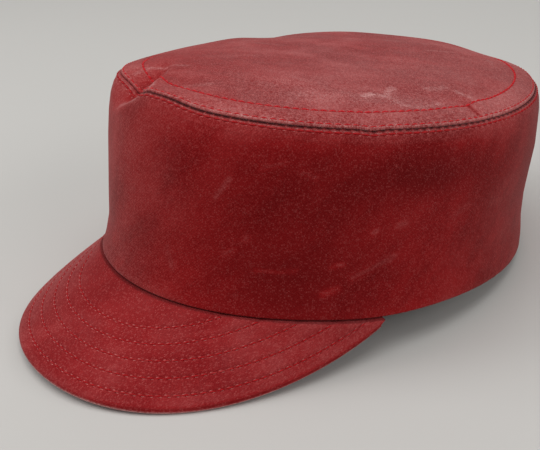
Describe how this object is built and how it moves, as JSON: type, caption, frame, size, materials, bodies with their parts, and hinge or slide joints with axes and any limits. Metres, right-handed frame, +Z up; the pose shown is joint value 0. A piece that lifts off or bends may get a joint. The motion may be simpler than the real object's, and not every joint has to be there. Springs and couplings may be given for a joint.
{
  "type": "box cap",
  "caption": "Box cap with an upright oval crown, a flat top with a raised sewn edge and a short curved peak, sewn from waxed canvas and worn on the head.",
  "frame": {"origin": "middle of the bounding box on the surface that the cap stands on", "axes": "-Y towards the peak, +X towards the wearer's left, +Z up; the cap stands tipped back on its peak and the back of its rim"},
  "size_m": [0.1644, 0.248, 0.0999],
  "materials": {
    "crown_canvas": "waxed cotton canvas, deep red with a pale bloom",
    "peak_canvas": "waxed cotton canvas over a stiff core, red"
  },
  "bodies": {
    "root": {"crown_side": "crown_canvas", "crown_top": "crown_canvas", "peak": "peak_canvas"}
  },
  "joints": []
}
